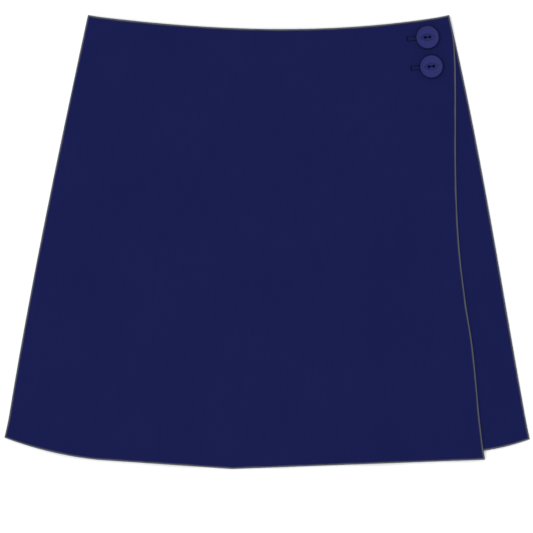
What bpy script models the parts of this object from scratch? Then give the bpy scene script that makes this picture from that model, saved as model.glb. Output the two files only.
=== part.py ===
"""A girls' wrap-front skort, laid flat with its front up: five cut cloth panels and two buttons.

Metres, +Z up. +X is the wearer's left, +Y runs from the hem to the waist, and the origin is under the
middle of the garment, on the surface it lies on. "drop" is the distance down from the waist's corners.
The layers, from the surface up: two back legs, two front legs, the front flap that wraps over them
from the wearer's right side seam, and two buttons that stand on thread shanks in the flap's buttonholes.
"""

import math
from collections import namedtuple

import bmesh
import bpy
from mathutils import Vector

# Outline of the garment as it lies
HEM_WIDTH = 0.449
FLAP_LENGTH = 0.389  # from the level of the waist's corners to the lowest point of the flap's hem
SIDE_DROP = 0.362  # from the waist's corner to the flap's hem at the side seam
WAIST_DIP = 0.0116  # how far the middle of the waist lies below its corners
WAIST_SKEW = 0.16  # its arc hangs deeper towards the wearer's left by this share
LEG_HEM_SLOPE = 0.366  # the legs' hem falls away from the side seam at this slope
LEG_HEM_RUN = 0.069  # and is level from here inwards
LEG_HEM_TILT = 0.0025  # the legs' hem lies this much lower at the wearer's left
FLAP_HEM_SLOPE = 0.383  # the flap's hem at the side seam that it is sewn into
FLAP_HEM_LEVEL_SLOPE = 0.09  # and where its curve ends
FLAP_HEM_RUN = 0.0815  # the width of that curve
FLAP_LOW_X = -0.030  # where the flap's hem is lowest
FLAP_CORNER_DROP = 0.3810  # the flap's free lower corner
FLAP_OVER_LEG = 0.0013  # the flap covers the legs' hem by this much at the side seam

# The legs
CROTCH_DROP = 0.252
HEM_SPREAD = 0.018  # between the two inseams at the hem
INSEAM_POWER = 0.8  # below 1, so that the gap between the legs opens in a round

# Layers
WALL = 0.0012
SEAM_GAP = 0.0003
LAYER_GAP = 0.0004
SIDE_TURN = 0.004  # the flap turns down over the leg's edge within this width of its side seam
LOFT = 0.0022  # how far the front stands off the back, away from the sewn edges
LOFT_REACH = 0.045  # within this distance of a sewn edge it falls to nothing
WAIST_LOFT = 0.3  # the share of LOFT that is left at the waist
WAIST_LOFT_REACH = 0.100
HEM_LOFT = 0.4  # the share that is left at the legs' hem
HEM_LOFT_REACH = 0.070
FLAP_FALL = 0.0014  # the flap sinks by this much where it reaches past the legs' hem
FLAP_FALL_RUN = 0.016

# Buttons and buttonholes
BUTTON_RADIUS = 0.01015  # 32 ligne
BUTTON_THICKNESS = 0.0030
BUTTON_ROUND = 0.0009
BUTTON_TILT = math.radians(5)
EYE_LENGTH = 0.0126  # the fish-eye recess, along the holes
EYE_WIDTH = 0.0064
EYE_DEPTH = 0.0007
HOLE_RADIUS = 0.00125
HOLE_SPACING = 0.0040
SHANK_RADIUS = 0.0013
EYELET_RADIUS = 0.0019  # the buttonhole's round end, where the shank stands
SLOT_WIDTH = 0.0004  # its two lips lie together
SLOT_LENGTH = 0.0178  # from the round end's centre to the barred end
CUT_OVER = 0.003  # cutters reach this far past what they cut

# How finely the shapes are divided
BACK_LEG_GRID = (9, 16)  # columns, rows
FRONT_LEG_GRID = (16, 22)
FLAP_GRID = (30, 26)
LEG_MARGIN = 0.03  # of a leg's width or length: its outermost strips
DISC_STEPS = 48
CORNER_STEPS = 6
WHEEL_STEPS = 120
HOLE_STEPS = 20

CLOTH_COLOUR = (0.0103, 0.0137, 0.0782, 1.0)
BUTTON_COLOUR = (0.0284, 0.0319, 0.1441, 1.0)
THREAD_COLOUR = (0.0040, 0.0048, 0.0180, 1.0)

TOP_Y = FLAP_LENGTH / 2
LEFT, RIGHT = 1, -1  # the wearer's sides: the sign of x

SideSeam = namedtuple("SideSeam", "waist_x bow skew")
SIDE_SEAMS = {  # bow is how far a seam bulges over the hip, and skew how much more it does near the waist
    LEFT: SideSeam(0.1562, 0.0023, 0.8),
    RIGHT: SideSeam(-0.1540, 0.0026, -0.3),
}

EdgeRow = namedtuple("EdgeRow", "drop x")
FLAP_EDGE = (  # the flap's free edge, from the waist's corner to the hem
    EdgeRow(0.000, 0.1562),
    EdgeRow(0.016, 0.1596),
    EdgeRow(0.036, 0.1613),
    EdgeRow(0.064, 0.1619),
    EdgeRow(0.126, 0.1619),
    EdgeRow(0.167, 0.1629),
    EdgeRow(0.208, 0.1657),
    EdgeRow(0.249, 0.1707),
    EdgeRow(0.280, 0.1756),
    EdgeRow(0.304, 0.1783),
    EdgeRow(0.338, 0.1814),
    EdgeRow(0.366, 0.1845),
    EdgeRow(FLAP_CORNER_DROP, 0.1868),
)

Fold = namedtuple("Fold", "foot_x foot_drop head_x head_drop height half_width")
FLAP_FOLDS = (  # soft flutes that rise from the flap's hem, then the slack beside its free edge
    Fold(-0.176, 0.385, -0.128, 0.205, 0.0016, 0.026),
    Fold(-0.084, 0.395, -0.070, 0.170, 0.0024, 0.034),
    Fold(0.012, 0.395, 0.004, 0.235, 0.0014, 0.026),
    Fold(0.094, 0.390, 0.070, 0.150, 0.0026, 0.032),
    Fold(0.172, 0.385, 0.152, 0.150, 0.0014, 0.022),
)
LEG_FOLDS = (Fold(0.206, 0.372, 0.178, 0.200, 0.0012, 0.020),)

Button = namedtuple("Button", "name x drop")
BUTTONS = (
    Button("upper", 0.1375, 0.0187),
    Button("lower", 0.1408, 0.0438),
)


def mix(a, b, t):
    return a + (b - a) * t


def smooth(t):
    """0 below 0, 1 above 1, and an even S between them."""
    t = min(max(t, 0.0), 1.0)
    return t * t * (3 - 2 * t)


# ---------------------------------------------------------------- outlines, as functions


def side_x(side, drop):
    """Where a side seam is at this drop."""
    seam = SIDE_SEAMS[side]
    t = drop / SIDE_DROP
    bow = seam.bow * 4 * t * (1 - t) * (1 + seam.skew * (1 - 2 * t))
    return mix(seam.waist_x, side * HEM_WIDTH / 2, t) + side * bow


def waist_drop(x):
    """A shallow arc through the waist's two corners."""
    first, last = SIDE_SEAMS[RIGHT].waist_x, SIDE_SEAMS[LEFT].waist_x
    t = (x - first) / (last - first)
    return WAIST_DIP * 4 * t * (1 - t) * (1 + WAIST_SKEW * (2 * t - 1))


def leg_hem_drop(x):
    """The legs' hem: a curve at each side seam, and straight between the curves."""
    run = min(HEM_WIDTH / 2 - abs(x), LEG_HEM_RUN)
    tilt = LEG_HEM_TILT * (x / HEM_WIDTH + 0.5)
    return SIDE_DROP - FLAP_OVER_LEG + tilt + LEG_HEM_SLOPE * run * (1 - run / (2 * LEG_HEM_RUN))


def flap_hem_drop(x):
    """The flap's hem: a curve at the side seam, then two straight lines that meet at the lowest point."""
    run = x + HEM_WIDTH / 2
    bend = (FLAP_HEM_SLOPE - FLAP_HEM_LEVEL_SLOPE) / (2 * FLAP_HEM_RUN)
    if run < FLAP_HEM_RUN:
        return SIDE_DROP + run * (FLAP_HEM_SLOPE - bend * run)
    curve_end = SIDE_DROP + FLAP_HEM_RUN * (FLAP_HEM_SLOPE - bend * FLAP_HEM_RUN)
    curve_end_x = FLAP_HEM_RUN - HEM_WIDTH / 2
    if x < FLAP_LOW_X:
        return mix(curve_end, FLAP_LENGTH, (x - curve_end_x) / (FLAP_LOW_X - curve_end_x))
    return mix(FLAP_LENGTH, FLAP_CORNER_DROP, (x - FLAP_LOW_X) / (FLAP_EDGE[-1].x - FLAP_LOW_X))


def flap_edge_x(drop):
    """A smooth curve through the rows of FLAP_EDGE."""
    rows = FLAP_EDGE
    i = max(k for k in range(len(rows) - 1) if drop >= rows[k].drop or k == 0)

    def slope(k):
        before, after = rows[max(k - 1, 0)], rows[min(k + 1, len(rows) - 1)]
        return (after.x - before.x) / (after.drop - before.drop)

    span = rows[i + 1].drop - rows[i].drop
    t = (drop - rows[i].drop) / span
    ends = mix(rows[i].x, rows[i + 1].x, t * t * (3 - 2 * t))
    return ends + span * t * (1 - t) * ((1 - t) * slope(i) - t * slope(i + 1))


def inseam_x(side, drop):
    """The centre seam down to the crotch, then the inseam."""
    fall = max(drop - CROTCH_DROP, 0.0) / (leg_hem_drop(0.0) - CROTCH_DROP)
    return side * (SEAM_GAP + HEM_SPREAD * fall**INSEAM_POWER) / 2


# ---------------------------------------------------------------- heights, as functions


def loft(x, drop):
    """How far the front stands off the back: nothing at the side seams and the inseams."""
    to_side = min(side_x(LEFT, drop) - x, x - side_x(RIGHT, drop))
    to_inseam = abs(x) - inseam_x(LEFT, drop) if drop > CROTCH_DROP else math.hypot(x, drop - CROTCH_DROP)
    near_waist = mix(WAIST_LOFT, 1.0, smooth(drop / WAIST_LOFT_REACH))
    near_hem = mix(HEM_LOFT, 1.0, smooth((leg_hem_drop(x) - drop) / HEM_LOFT_REACH))
    from_seams = smooth(to_side / LOFT_REACH) * smooth(to_inseam / LOFT_REACH)
    return LOFT * near_waist * near_hem * from_seams


def fold_height(folds, x, drop):
    """The height of these folds: each is full at its foot, and fades to its head and to its sides."""
    total = 0.0
    for fold in folds:
        foot = Vector((fold.foot_x, fold.foot_drop))
        run = Vector((fold.head_x, fold.head_drop)) - foot
        at = Vector((x, drop)) - foot
        along = at.dot(run) / run.length_squared
        aside = abs(at.cross(run)) / run.length
        total += fold.height * smooth(1 - along) * smooth(1 - aside / fold.half_width)
    return total


def leg_underside(x, drop):
    return WALL + SEAM_GAP + loft(x, drop) + fold_height(LEG_FOLDS, x, drop)


def flap_underside(x, drop):
    """The flap lies on the front legs, and turns down past their edge where it is sewn to the back."""
    turned = min((x - side_x(RIGHT, drop)) / SIDE_TURN, 1.0)
    step = (WALL + LAYER_GAP) * max(turned, 0.0)
    fall = FLAP_FALL * smooth((drop - leg_hem_drop(x)) / FLAP_FALL_RUN)
    return leg_underside(x, drop) + step - fall + fold_height(FLAP_FOLDS, x, drop)


# ---------------------------------------------------------------- cloth panels


def point_at(x, drop):
    return Vector((x, TOP_Y - drop))


def waist_curve(from_x, to_x):
    def curve(t):
        x = mix(from_x, to_x, t)
        return point_at(x, waist_drop(x))

    return curve


def hem_curve(hem_drop, from_x, to_x):
    def curve(t):
        x = mix(from_x, to_x, t)
        return point_at(x, hem_drop(x))

    return curve


def edge_curve(edge_x, from_drop, to_drop):
    def curve(t):
        drop = mix(from_drop, to_drop, t)
        return point_at(edge_x(drop), drop)

    return curve


def patch(top, bottom, first, last, u, v):
    """The point at u, v of the area inside four edge curves that meet at their ends."""
    across = mix(first(v), last(v), u)
    down = mix(top(u), bottom(u), v)
    corners = mix(mix(top(0), top(1), u), mix(bottom(0), bottom(1), u), v)
    return across + down - corners


def stops(count, margin, corner=0.5):
    """Where grid lines are: both edges, one line a margin in from each, and even steps to the corner."""
    inner = count - 2
    before = round(inner * corner)
    first = [mix(margin, corner, k / before) for k in range(before)]
    last = [mix(corner, 1 - margin, k / (inner - before)) for k in range(inner - before + 1)]
    return [0.0, *first, *last, 1.0]


def panel(name, edges, underside, grid, margin, corner=0.5):
    """A cloth panel: a grid fitted inside its four edges, laid at its height and given its wall.
    corner is where along the bottom edge a grid line has to be."""
    columns, rows = grid
    u_stops, v_stops = stops(columns, margin, corner), stops(rows, margin)
    bm = bmesh.new()
    bmesh.ops.create_grid(bm, x_segments=columns, y_segments=rows, size=0.5)
    for vert in bm.verts:
        u = u_stops[round((vert.co.x + 0.5) * columns)]
        v = v_stops[round((0.5 - vert.co.y) * rows)]
        place = patch(*edges, u, v)
        vert.co = (place.x, place.y, underside(place.x, TOP_Y - place.y))
    bmesh.ops.recalc_face_normals(bm, faces=bm.faces)
    if sum(face.normal.z for face in bm.faces) < 0:
        bmesh.ops.reverse_faces(bm, faces=bm.faces)
    obj = add_object(name, bm, cloth)
    wall = obj.modifiers.new("Wall", "SOLIDIFY")
    wall.thickness = WALL
    wall.offset = 1.0
    wall.use_even_offset = True
    return obj


def leg_panel(name, side, underside, side_inset, grid):
    """A front or back leg, from its side seam to the centre seam and the inseam."""
    hem_side_x = side_x(side, SIDE_DROP) - side * side_inset
    waist_side_x = side_x(side, 0.0) - side * side_inset
    hem_inner_x = inseam_x(side, leg_hem_drop(0.0))
    edges = (
        waist_curve(waist_side_x, inseam_x(side, 0.0)),
        hem_curve(leg_hem_drop, hem_side_x, hem_inner_x),
        edge_curve(
            lambda drop: side_x(side, drop) - side * side_inset,
            waist_drop(waist_side_x),
            leg_hem_drop(hem_side_x),
        ),
        edge_curve(
            lambda drop: inseam_x(side, drop), waist_drop(0.0), leg_hem_drop(hem_inner_x)
        ),
    )
    return panel(name, edges, underside, grid, LEG_MARGIN)


def flap_panel():
    """The wrapped front, from the side seam that it is sewn into to its free edge."""
    turn_slope = math.atan((WALL + LAYER_GAP) / SIDE_TURN)
    inset = WALL * math.sin(turn_slope)  # the wall leans out by this much where the edge turns down
    hem_start, hem_end = side_x(RIGHT, SIDE_DROP) + inset, FLAP_EDGE[-1].x
    edges = (
        waist_curve(side_x(RIGHT, 0.0) + inset, FLAP_EDGE[0].x),
        hem_curve(flap_hem_drop, hem_start, hem_end),
        edge_curve(lambda drop: side_x(RIGHT, drop) + inset, 0.0, SIDE_DROP),
        edge_curve(flap_edge_x, 0.0, FLAP_CORNER_DROP),
    )
    margin = SIDE_TURN / (hem_end - hem_start)
    corner = (FLAP_LOW_X - hem_start) / (hem_end - hem_start)
    return panel("front_flap", edges, flap_underside, FLAP_GRID, margin, corner)


# ---------------------------------------------------------------- buttons


def flap_top(button):
    """The highest point of the flap under this button."""
    heights = []
    for k in range(DISC_STEPS):
        angle = math.tau * k / DISC_STEPS
        x = button.x + BUTTON_RADIUS * math.cos(angle)
        drop = button.drop + BUTTON_RADIUS * math.sin(angle)
        heights.append(flap_underside(x, drop) + WALL)
    return max(heights)


def post(name, radius, low, high, place, material=None, helper=False):
    """An upright cylinder between two heights, as a part or as a cutter."""
    bm = bmesh.new()
    bmesh.ops.create_cone(
        bm, cap_ends=True, segments=HOLE_STEPS, radius1=radius, radius2=radius, depth=high - low
    )
    obj = add_object(name, bm, material, helper)
    obj.location = (*place, (low + high) / 2)
    return obj


def cut(obj, cutter):
    boolean = obj.modifiers.new(cutter.name, "BOOLEAN")
    boolean.operation = "DIFFERENCE"
    boolean.object = cutter


def tilted(button, along):
    """The point this far from a button's centre, along its buttonhole towards the wearer's left."""
    centre = point_at(button.x, button.drop)
    return centre + Vector((math.cos(BUTTON_TILT), math.sin(BUTTON_TILT))) * along


def turned(name, profile, steps, material=None, helper=False):
    """A solid of revolution from a profile of (radius, height) points, from its top to its bottom."""
    bm = bmesh.new()
    verts = [bm.verts.new((radius, 0.0, height)) for radius, height in profile]
    for upper, lower in zip(verts, verts[1:]):
        bm.edges.new((upper, lower))
    obj = add_object(name, bm, material, helper)
    turn = obj.modifiers.new("Turn", "SCREW")
    turn.angle = math.tau
    turn.steps = turn.render_steps = steps
    turn.use_smooth_shade = not helper
    turn.use_merge_vertices = True
    turn.merge_threshold = 0.00001
    return obj


def button_disc(button):
    """A two-hole fish-eye button: a turned disc, its pointed oval recess and its thread holes."""
    low = flap_top(button) + SEAM_GAP
    high = low + BUTTON_THICKNESS
    rim_radius, rim_height = BUTTON_RADIUS - BUTTON_ROUND, BUTTON_THICKNESS - BUTTON_ROUND
    profile = [(0.0, BUTTON_THICKNESS)]
    for k in range(CORNER_STEPS + 1):
        angle = math.radians(90) * (1 - k / CORNER_STEPS)
        out, up = BUTTON_ROUND * math.cos(angle), BUTTON_ROUND * math.sin(angle)
        profile.append((rim_radius + out, rim_height + up))
    profile += [(rim_radius, 0.0), (0.0, 0.0)]
    obj = turned(f"button_{button.name}", profile, DISC_STEPS, plastic)
    obj.location = (*point_at(button.x, button.drop), low)
    obj.rotation_euler.z = BUTTON_TILT
    cut(obj, eye_wheel(button, high))
    for number, along in enumerate((-HOLE_SPACING / 2, HOLE_SPACING / 2)):
        name, place = f"cut_hole_{button.name}_{number}", tilted(button, along)
        cut(obj, post(name, HOLE_RADIUS, low - CUT_OVER, high + CUT_OVER, place, helper=True))


def eye_wheel(button, high):
    """The cutter of a fish-eye recess: a wheel with a V-shaped rim, on edge over the line of the holes."""
    radius = (EYE_LENGTH / 2) ** 2 / (2 * EYE_DEPTH)
    half_width = EYE_WIDTH / 2 * CUT_OVER / EYE_DEPTH
    profile = [
        (0.0, half_width),
        (radius - CUT_OVER, half_width),
        (radius, 0.0),
        (radius - CUT_OVER, -half_width),
        (0.0, -half_width),
    ]
    wheel = turned(f"cut_eye_{button.name}", profile, WHEEL_STEPS, helper=True)
    wheel.location = (*point_at(button.x, button.drop), high - EYE_DEPTH + radius)
    wheel.rotation_euler = (math.radians(90), 0.0, BUTTON_TILT)
    return wheel


def button_shank(button):
    """The wound thread that carries the button on the front leg, through the buttonhole."""
    low = leg_underside(button.x, button.drop) + WALL + SEAM_GAP
    place = point_at(button.x, button.drop)
    post(f"shank_{button.name}", SHANK_RADIUS, low, flap_top(button), place, thread)


def buttonhole(flap, button):
    """A slot that runs from a round end under the button towards the middle of the front."""
    low, high = flap_top(button) - CUT_OVER, flap_top(button) + CUT_OVER
    place = point_at(button.x, button.drop)
    cut(flap, post(f"cut_eyelet_{button.name}", EYELET_RADIUS, low, high, place, helper=True))
    bm = bmesh.new()
    bmesh.ops.create_cube(bm, size=1.0)
    bmesh.ops.scale(bm, vec=(SLOT_LENGTH, SLOT_WIDTH, high - low), verts=bm.verts)
    slot = add_object(f"cut_slot_{button.name}", bm, helper=True)
    slot.location = (*tilted(button, -SLOT_LENGTH / 2), (low + high) / 2)
    slot.rotation_euler.z = BUTTON_TILT
    cut(flap, slot)


# ---------------------------------------------------------------- scene


def add_object(name, bm, material=None, helper=False):
    """A named object from a bmesh: a sub-part under the skort's empty, or a hidden cutter."""
    mesh = bpy.data.meshes.new(name)
    bm.to_mesh(mesh)
    bm.free()
    obj = bpy.data.objects.new(name, mesh)
    (cutters if helper else parts).objects.link(obj)
    if helper:
        obj.hide_render = True
        obj.display_type = "WIRE"
    else:
        mesh.materials.append(material)
        mesh.shade_smooth()
        mesh.set_sharp_from_angle(angle=math.radians(35))
        obj.parent = skort
    return obj


def make_material(name, colour, roughness):
    material = bpy.data.materials.new(name)
    material.use_nodes = True
    shader = material.node_tree.nodes["Principled BSDF"]
    shader.inputs["Base Color"].default_value = colour
    shader.inputs["Roughness"].default_value = roughness
    shader.inputs["Metallic"].default_value = 0.0
    return material


for old in list(bpy.data.objects):
    bpy.data.objects.remove(old, do_unlink=True)

parts = bpy.data.collections.new("skort")
cutters = bpy.data.collections.new("cutters")
for collection in (parts, cutters):
    bpy.context.scene.collection.children.link(collection)
skort = bpy.data.objects.new("skort_root", None)
parts.objects.link(skort)

cloth = make_material("navy_twill", CLOTH_COLOUR, 0.85)
plastic = make_material("navy_button", BUTTON_COLOUR, 0.4)
thread = make_material("dark_thread", THREAD_COLOUR, 0.7)

for side_name, side in (("left", LEFT), ("right", RIGHT)):
    under_flap_turn = SIDE_TURN + SEAM_GAP if side == RIGHT else 0.0
    leg_panel(f"back_leg_{side_name}", side, lambda x, drop: 0.0, 0.0, BACK_LEG_GRID)
    leg_panel(f"front_leg_{side_name}", side, leg_underside, under_flap_turn, FRONT_LEG_GRID)

flap = flap_panel()
for button in BUTTONS:
    buttonhole(flap, button)
    button_shank(button)
    button_disc(button)
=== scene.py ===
"""The looks of a girls' wrap-front skort that lies flat with its front up.

Metres, +Z up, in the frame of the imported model: +X is the wearer's left, and +Y runs from the hem to
the waist. "drop" is the distance down from the level of the CAD's waist corners. Each cloth panel is
a closed thin shell with rolled edges on the form of its CAD solid. The buttons, the threads that carry
them and the stitches of the buttonholes are modelled too.
"""

import math
from collections import namedtuple

import bmesh
import bpy
import numpy as np
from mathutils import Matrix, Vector


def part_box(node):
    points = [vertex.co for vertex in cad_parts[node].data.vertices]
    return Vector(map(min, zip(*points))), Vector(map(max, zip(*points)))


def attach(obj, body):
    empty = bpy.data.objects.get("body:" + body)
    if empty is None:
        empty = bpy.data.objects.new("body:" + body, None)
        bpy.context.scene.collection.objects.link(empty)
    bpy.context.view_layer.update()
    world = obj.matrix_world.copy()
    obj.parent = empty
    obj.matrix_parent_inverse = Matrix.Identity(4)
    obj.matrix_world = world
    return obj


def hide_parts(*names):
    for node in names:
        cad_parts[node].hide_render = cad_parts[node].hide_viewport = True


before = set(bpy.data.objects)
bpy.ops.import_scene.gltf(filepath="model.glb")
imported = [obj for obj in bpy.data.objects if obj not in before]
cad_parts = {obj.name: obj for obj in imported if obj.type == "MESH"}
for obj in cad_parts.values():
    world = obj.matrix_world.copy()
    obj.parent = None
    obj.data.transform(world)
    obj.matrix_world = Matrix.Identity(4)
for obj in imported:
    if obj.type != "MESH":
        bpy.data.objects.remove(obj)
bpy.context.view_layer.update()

# ---------------------------------------------------------------- sizes

# Outline, as in the CAD
HEM_WIDTH = 0.449
FLAP_LENGTH = 0.389
SIDE_DROP = 0.362
WAIST_DIP = 0.0116
WAIST_SKEW = 0.16
LEG_HEM_SLOPE = 0.366
LEG_HEM_RUN = 0.069
LEG_HEM_TILT = 0.0025
FLAP_HEM_SLOPE = 0.383
FLAP_HEM_LEVEL_SLOPE = 0.09
FLAP_HEM_RUN = 0.0815
FLAP_LOW_X = -0.030
FLAP_CORNER_DROP = 0.3810
FLAP_OVER_LEG = 0.0013
CROTCH_DROP = 0.252
HEM_SPREAD = 0.018
INSEAM_POWER = 0.8

# The photo's corners, which are drawn out a little past the CAD's
WAIST_RISE = 0.0005  # the waist turns up by this much at both of its ends
WAIST_RISE_RUN = 0.014
FLARE_REACH = 0.021  # each side seam turns out by its flare over the last of its length
CORNER_FALL = 0.00045  # the hems are lower by this much at the side seams
CORNER_FALL_RUN = 0.050

# Layers, as in the CAD
WALL = 0.0012
SEAM_GAP = 0.0003
LAYER_GAP = 0.0004
SIDE_TURN = 0.004
LOFT = 0.0022
LOFT_REACH = 0.045
WAIST_LOFT = 0.3
WAIST_LOFT_REACH = 0.100
HEM_LOFT = 0.4
HEM_LOFT_REACH = 0.070
FLAP_FALL = 0.0014
FLAP_FALL_RUN = 0.016

# What the sewing inside does to the cloth's face
HEM_DEPTH = 0.025  # of the turned-up hem and of the turning along the flap's free edge
HEM_STEP = 0.00018  # the cloth stands higher by this much over a turning
HEM_STEP_WIDTH = 0.005
PUCKER_HEIGHT = 0.00009  # small ripples along the seams and hems
PUCKER_START = 0.0024  # they rise over this distance from the edge
PUCKER_REACH = 0.016  # and have faded away here
PUCKER_LENGTH = 0.0125
PUCKER_LENGTH_2 = 0.0191  # a second ripple, out of step with the first, makes them uneven

BUTTONED_X, BUTTONED_DROP = 0.139, 0.031  # the buttons hold the cloth still round this place
BUTTONED_REACH = 0.050
CREASE_TAPER = 3  # each end of a crease fades over its length divided by this

# Meshes
RIM = WALL / 2  # the radius of a panel's rolled edge
RIM_STEPS = 5
EDGE_LINES = 4  # of the grid, RIM apart along each edge, as far as its wear reaches
FLAP_SPACING = 0.0024
LEG_SPACING = 0.0036
EDGE_SAMPLES = 65  # for a panel's widths and heights
THREAD_SIDES = 6
ANY_DIRECTION = (0.31, 0.47, 0.83)  # that no thread runs in

# Buttons and buttonholes
BUTTON_TILT = math.radians(5)
BUTTON_ROUND = 0.0009
BUTTON_SEGMENTS = 128
HOLE_SEGMENTS = 32
ROUND_STEPS = 7
FACE_STEPS = 44
SIDE_SHARES = (0.3, 0.6, 0.85, 0.97)  # the rings down a button's side, from its rim to its base
BASE_SHARES = (0.985, 0.9, 0.6, 0.3, 0.0)  # and in to the middle of its base
DISH_DEPTH = 0.00012  # the face lies this much lower than the ring inside its rim
DISH_RADIUS = 0.0074
DISH_SLOPE_WIDTH = 0.0010
RIM_SHADE_RADIUS = 0.0093  # painted shade darkens the face from here to its rim
RIM_SHADE_WIDTH = 0.0003
EYE_LINE_WIDTH = 0.00034  # of the line of painted shade round the fish-eye
EYE_LINE_SHADE = 0.82
EYE_LENGTH = 0.0126
EYE_WIDTH = 0.0058
EYE_DEPTH = 0.0007
EYE_SOFTNESS = 0.00009  # how round the fish-eye's brim is
EYE_ROUND = 0.00012  # and its middle line
HOLE_RADIUS = 0.00125
HOLE_FLARE = 0.00014
HOLE_SPACING = 0.0040
HOLE_SHADE = 0.85
HOLE_SHADE_REACH = 1.05  # in hole radii
EYELET_RADIUS = 0.0019
SLOT_WIDTH = 0.0004
SLOT_LENGTH = 0.0172
KEYHOLE_POINTS = 26
CUT_OVER = 0.003  # a cutter stands this far past what it cuts
SMALLEST_EDGE = 1e-5
LARGEST_FACE = 4  # corners: the cut leaves larger ones, which are split
SHARP_ANGLE = math.radians(35)

STITCH_RADIUS = 0.00016
STITCH_PITCH = 0.00029
STITCH_RISE = 0.00020  # the middle of a stitch stands this high over the cloth
PRESSED_RISE = 0.00004  # and this high under the button
STITCH_SINK = 0.00024  # its outer end is this far inside it
STITCH_INNER_SINK = 0.00006  # and its inner end this far
STITCH_POINTS = 7
STITCH_ARCH = 0.5  # the power of the sine that a stitch arches in
STITCH_WOBBLE = 0.00006
WOBBLE_STEP, WOBBLE_STEP_2 = 2.3, 5.9  # radians from stitch to stitch, for two waves of wobble
BEAD_INNER = 0.00002  # a bead of stitches reaches from here
BEAD_OUTER = 0.00225  # to here, from the slot's middle line
BEAD_SHADE = 0.00100  # the outer part of a bead that lies in its own shade
BEAD_SHADE_SLOPE = 2.2
EYELET_FAN = 0.0014  # the length of the stitches round the eyelet
FAN_STITCHES = 30
FAN_FROM, FAN_TO = math.radians(40), math.radians(320)  # it leaves the slot's side open
BAR_STITCHES = 4  # across the barred end
BAR_PITCH = STITCH_PITCH * 0.8
BAR_RISE = STITCH_RISE * 1.6
STRAND_RADIUS = 0.00017
STRAND_SPACING = 0.00030
STRAND_HALF = 0.00140  # the strands leave the holes this far from the button's middle
STRAND_POINTS = 17
STRAND_SEAT, UPPER_STRAND_SEAT = 1.7, 3.2  # over the bar's face, in strand radii
STRAND_DIP = 0.0020  # how far the strands go down the holes before they turn in
STRAND_BEND, STRAND_CROWN = 0.7, 0.25  # powers that shape their arch: the smaller, the squarer
STRAND_FOOT = 0.00084  # their ends are this far from the button's middle
STRAND_FOOT_DROP = 0.00030  # and this far under its base
STRAND_TURN = 0.00010  # they turn in this far over its base
SHANK_THREAD_RADIUS = 0.00019
SHANK_CORE_STRANDS = 5
SHANK_CORE_TWIST = 0.3  # in strands' spacings, from end to end
COIL_POINTS = 18  # a turn

# Floor, light and camera
FLOOR_REACH = 40.0
FLOOR_Z = -0.0001
FLOOR_COLOUR = (0.98, 0.98, 0.98, 1.0)
WORLD_COLOUR = (0.96, 0.98, 1.0, 1.0)
WORLD_STRENGTH = 0.70
KEY_STRENGTH = 1.88
KEY_ANGLE = math.radians(50)
KEY_FROM = (-0.20, 0.04, 1.0)
SENSOR_WIDTH = 36.0
CAMERA_HEIGHT = 8.0
VIEW_WIDTH = 0.45735
VIEW_X, VIEW_Y, VIEW_HEIGHT = -0.00066, -0.02081, 0.0015

TOP_Y = FLAP_LENGTH / 2
LEFT, RIGHT = 1, -1

SideSeam = namedtuple("SideSeam", "waist_x bow skew flare")
SIDE_SEAMS = {
    LEFT: SideSeam(0.1562, 0.0023, 0.8, 0.0004),
    RIGHT: SideSeam(-0.1540, 0.0026, -0.3, 0.0011),
}

EdgeRow = namedtuple("EdgeRow", "drop x")
FLAP_EDGE = (
    EdgeRow(0.000, 0.1562),
    EdgeRow(0.016, 0.1596),
    EdgeRow(0.036, 0.1613),
    EdgeRow(0.064, 0.1619),
    EdgeRow(0.126, 0.1619),
    EdgeRow(0.167, 0.1629),
    EdgeRow(0.208, 0.1657),
    EdgeRow(0.249, 0.1707),
    EdgeRow(0.280, 0.1756),
    EdgeRow(0.304, 0.1783),
    EdgeRow(0.338, 0.1814),
    EdgeRow(0.366, 0.1845),
    EdgeRow(FLAP_CORNER_DROP, 0.1868),
)

Fold = namedtuple("Fold", "foot_x foot_drop head_x head_drop height half_width")
FLAP_FOLDS = (
    Fold(-0.176, 0.385, -0.128, 0.205, 0.0016, 0.026),
    Fold(-0.084, 0.395, -0.070, 0.170, 0.0024, 0.034),
    Fold(0.012, 0.395, 0.004, 0.235, 0.0014, 0.026),
    Fold(0.094, 0.390, 0.070, 0.150, 0.0026, 0.032),
    Fold(0.172, 0.385, 0.152, 0.150, 0.0014, 0.022),
)
LEG_FOLDS = (Fold(0.206, 0.372, 0.178, 0.200, 0.0012, 0.020),)

Wave = namedtuple("Wave", "length degrees height phase")
SLACK_WAVES = (  # the faint unevenness of cloth that was smoothed out by hand
    Wave(0.131, 24, 0.00042, 0.4),
    Wave(0.083, 108, 0.00030, 2.1),
    Wave(0.057, 151, 0.00020, 4.4),
    Wave(0.041, 67, 0.00012, 1.2),
)

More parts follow.
